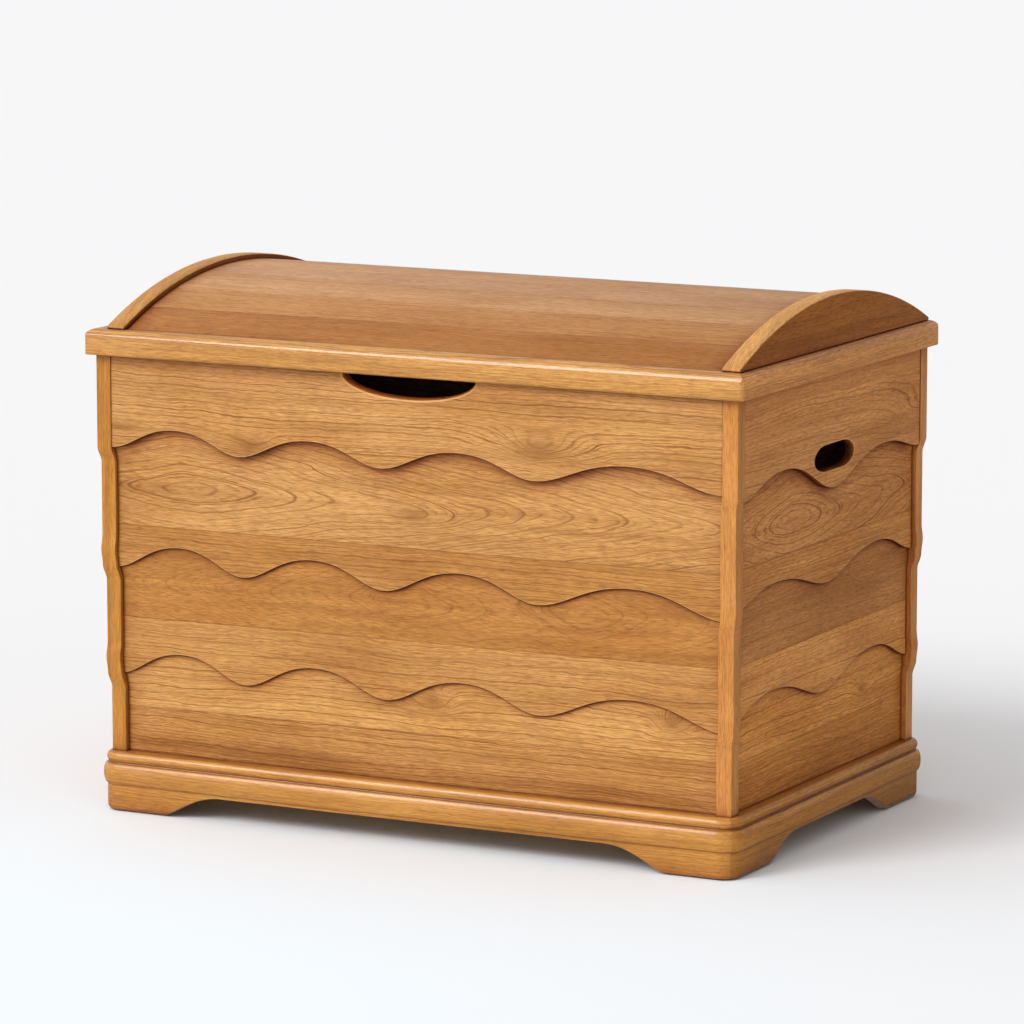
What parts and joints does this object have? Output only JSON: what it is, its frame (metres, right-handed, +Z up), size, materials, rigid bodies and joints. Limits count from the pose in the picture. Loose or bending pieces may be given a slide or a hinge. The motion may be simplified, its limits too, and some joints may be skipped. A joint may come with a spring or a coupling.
{
  "type": "wooden toy box",
  "caption": "Wooden toy chest with a domed slatted lid on rear hinges, scalloped overlapping boards, stepped corner posts, hand holes, a finger scoop and a moulded plinth on feet.",
  "frame": {"origin": "on the floor at the centre of the chest, below the middle of the closed lid", "axes": "+X along the front to the right as seen from the front, +Y from front to rear, +Z up"},
  "size_m": [0.84, 0.538, 0.6249],
  "materials": {
    "post_wood": "satin lacquer, honey oak end posts",
    "board_wood_light": "satin lacquer over light oak",
    "board_wood_mid": "satin lacquer over oak",
    "plinth_wood": "satin lacquer, moulded oak",
    "floor_plywood": "sanded plywood, clear sealer",
    "inner_wood": "sawn softwood, bare",
    "lid_rail_wood": "satin lacquer over oak",
    "lid_arch_wood": "satin lacquer, warm brown",
    "lid_stave_light": "satin lacquer over light strips",
    "lid_stave_dark": "satin lacquer over darker strips",
    "hinge_steel": "brushed nickel plate",
    "pin_steel": "turned steel",
    "screw_steel": "zinc plated"
  },
  "bodies": {
    "carcass": {"front_left_post": "post_wood", "front_right_post": "post_wood", "rear_left_post": "post_wood", "rear_right_post": "post_wood", "front_board_1": "board_wood_light", "front_board_2": "board_wood_mid", "front_board_3": "board_wood_mid", "front_board_4": "board_wood_light", "rear_board_1": "board_wood_light", "rear_board_2": "board_wood_mid", "rear_board_3": "board_wood_mid", "rear_board_4": "board_wood_light", "left_board_1": "board_wood_light", "left_board_2": "board_wood_mid", "left_board_3": "board_wood_mid", "left_board_4": "board_wood_light", "right_board_1": "board_wood_light", "right_board_2": "board_wood_mid", "right_board_3": "board_wood_mid", "right_board_4": "board_wood_light", "bottom_panel": "floor_plywood", "front_cleat": "inner_wood", "rear_cleat": "inner_wood", "left_cleat": "inner_wood", "right_cleat": "inner_wood", "plinth_front": "plinth_wood", "plinth_rear": "plinth_wood", "plinth_left": "plinth_wood", "plinth_right": "plinth_wood", "front_left_block": "inner_wood", "front_right_block": "inner_wood", "rear_left_block": "inner_wood", "rear_right_block": "inner_wood", "left_hinge_body_leaf": "hinge_steel", "centre_hinge_body_leaf": "hinge_steel", "right_hinge_body_leaf": "hinge_steel", "left_hinge_pin": "pin_steel", "centre_hinge_pin": "pin_steel", "right_hinge_pin": "pin_steel", "body_hinge_screws": "screw_steel"},
    "lid": {"lid_front_rail": "lid_rail_wood", "lid_rear_rail": "lid_rail_wood", "lid_left_rail": "lid_rail_wood", "lid_right_rail": "lid_rail_wood", "lid_left_arch": "lid_arch_wood", "lid_right_arch": "lid_arch_wood", "lid_stave_1": "lid_stave_dark", "lid_stave_2": "lid_stave_dark", "lid_stave_3": "lid_stave_light", "lid_stave_4": "lid_stave_dark", "lid_stave_5": "lid_stave_light", "lid_stave_6": "lid_stave_dark", "lid_stave_7": "lid_stave_light", "lid_stave_8": "lid_stave_dark", "lid_stave_9": "lid_stave_dark", "left_hinge_lid_leaf": "hinge_steel", "centre_hinge_lid_leaf": "hinge_steel", "right_hinge_lid_leaf": "hinge_steel", "lid_hinge_screws": "screw_steel"}
  },
  "joints": [
    {"name": "lid_hinge", "type": "hinge", "parent": "carcass", "child": "lid", "pos_m": [0, 0.263, 0.536], "axis": [-1, 0, 0], "range_deg": [0, 100]}
  ]
}
